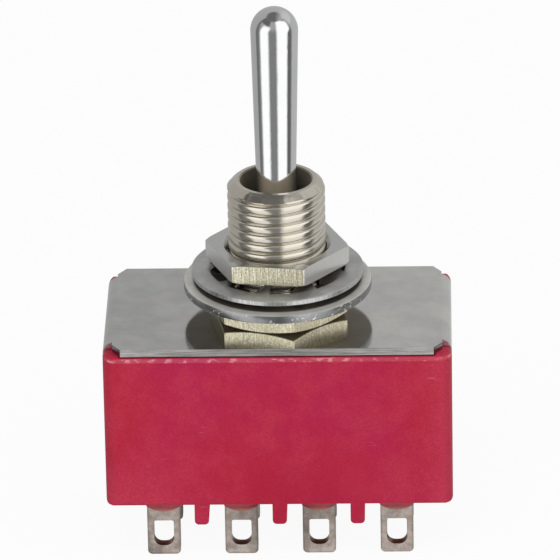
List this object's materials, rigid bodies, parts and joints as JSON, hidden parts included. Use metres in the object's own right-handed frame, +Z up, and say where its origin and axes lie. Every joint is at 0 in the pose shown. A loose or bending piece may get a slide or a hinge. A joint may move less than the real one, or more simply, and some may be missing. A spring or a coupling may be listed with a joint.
{
  "type": "panel toggle switch",
  "caption": "Miniature panel toggle switch: chromed bat lever in a threaded bushing with nut, washer and ring, red case under a steel cover, rows of solder lugs below.",
  "frame": {"origin": "on the bushing's axis, level with the tips of the solder lugs", "axes": "+Z up along the bushing, +X along the row of poles, -Y towards the front; the lever is stored tilted back towards +Y"},
  "size_m": [0.0226, 0.0132, 0.0351],
  "materials": {
    "moulded_case": "satin moulded",
    "cover_steel": "bright rolled",
    "bushing_nickel": "nickel plated",
    "lever_chrome": "polished",
    "pin_steel": "ground",
    "carrier_nylon": "moulded",
    "spring_wire": "drawn wire",
    "plunger_acetal": "moulded",
    "contact_silver": "silver plated",
    "terminal_tinned": "tinned copper alloy",
    "seal_epoxy": "cured resin",
    "nut_nickel": "nickel plated",
    "ring_steel": "plated",
    "washer_steel": "plated"
  },
  "bodies": {
    "switch_body": {"case": "moulded_case", "cover_plate": "cover_steel", "bushing": "bushing_nickel", "front_terminal_1": "terminal_tinned", "front_terminal_2": "terminal_tinned", "front_terminal_3": "terminal_tinned", "front_terminal_4": "terminal_tinned", "common_terminal_1": "terminal_tinned", "common_terminal_2": "terminal_tinned", "common_terminal_3": "terminal_tinned", "common_terminal_4": "terminal_tinned", "rear_terminal_1": "terminal_tinned", "rear_terminal_2": "terminal_tinned", "rear_terminal_3": "terminal_tinned", "rear_terminal_4": "terminal_tinned", "terminal_seal_1": "seal_epoxy", "terminal_seal_2": "seal_epoxy", "terminal_seal_3": "seal_epoxy", "terminal_seal_4": "seal_epoxy", "back_nut": "nut_nickel", "locating_ring": "ring_steel", "lock_washer": "washer_steel", "mounting_nut": "nut_nickel"},
    "lever": {"toggle_lever": "lever_chrome", "pivot_pin": "pin_steel", "actuator_carrier": "carrier_nylon", "plunger_spring_1": "spring_wire", "plunger_spring_2": "spring_wire", "plunger_spring_3": "spring_wire", "plunger_spring_4": "spring_wire"},
    "plunger_1": {"plunger_1": "plunger_acetal"},
    "plunger_2": {"plunger_2": "plunger_acetal"},
    "plunger_3": {"plunger_3": "plunger_acetal"},
    "plunger_4": {"plunger_4": "plunger_acetal"},
    "rocker_1": {"rocker_contact_1": "contact_silver"},
    "rocker_2": {"rocker_contact_2": "contact_silver"},
    "rocker_3": {"rocker_contact_3": "contact_silver"},
    "rocker_4": {"rocker_contact_4": "contact_silver"}
  },
  "joints": [
    {"name": "lever_swing", "type": "hinge", "parent": "switch_body", "child": "lever", "pos_m": [0, 0, 0.0201], "axis": [1, 0, 0], "range_deg": [0, 25]},
    {"name": "plunger_slide_1", "type": "slide", "parent": "lever", "child": "plunger_1", "axis": [0, 0.2164, 0.9763], "range_m": [0, 0.0006], "stiffness_N_per_m": 300, "springref_m": -0.001, "deforming": ["plunger_spring_1"]},
    {"name": "plunger_slide_2", "type": "slide", "parent": "lever", "child": "plunger_2", "axis": [0, 0.2164, 0.9763], "range_m": [0, 0.0006], "stiffness_N_per_m": 300, "springref_m": -0.001, "deforming": ["plunger_spring_2"]},
    {"name": "plunger_slide_3", "type": "slide", "parent": "lever", "child": "plunger_3", "axis": [0, 0.2164, 0.9763], "range_m": [0, 0.0006], "stiffness_N_per_m": 300, "springref_m": -0.001, "deforming": ["plunger_spring_3"]},
    {"name": "plunger_slide_4", "type": "slide", "parent": "lever", "child": "plunger_4", "axis": [0, 0.2164, 0.9763], "range_m": [0, 0.0006], "stiffness_N_per_m": 300, "springref_m": -0.001, "deforming": ["plunger_spring_4"]},
    {"name": "rocker_swing_1", "type": "hinge", "parent": "switch_body", "child": "rocker_1", "pos_m": [-0.00762, 0, 0.00635], "axis": [1, 0, 0], "range_deg": [-16, 0]},
    {"name": "rocker_swing_2", "type": "hinge", "parent": "switch_body", "child": "rocker_2", "pos_m": [-0.00254, 0, 0.00635], "axis": [1, 0, 0], "range_deg": [-16, 0]},
    {"name": "rocker_swing_3", "type": "hinge", "parent": "switch_body", "child": "rocker_3", "pos_m": [0.00254, 0, 0.00635], "axis": [1, 0, 0], "range_deg": [-16, 0]},
    {"name": "rocker_swing_4", "type": "hinge", "parent": "switch_body", "child": "rocker_4", "pos_m": [0.00762, 0, 0.00635], "axis": [1, 0, 0], "range_deg": [-16, 0]}
  ],
  "couplings": [
    {"joint": "rocker_swing_1", "follows": "lever_swing", "ratio": -0.64},
    {"joint": "rocker_swing_2", "follows": "lever_swing", "ratio": -0.64},
    {"joint": "rocker_swing_3", "follows": "lever_swing", "ratio": -0.64},
    {"joint": "rocker_swing_4", "follows": "lever_swing", "ratio": -0.64}
  ]
}
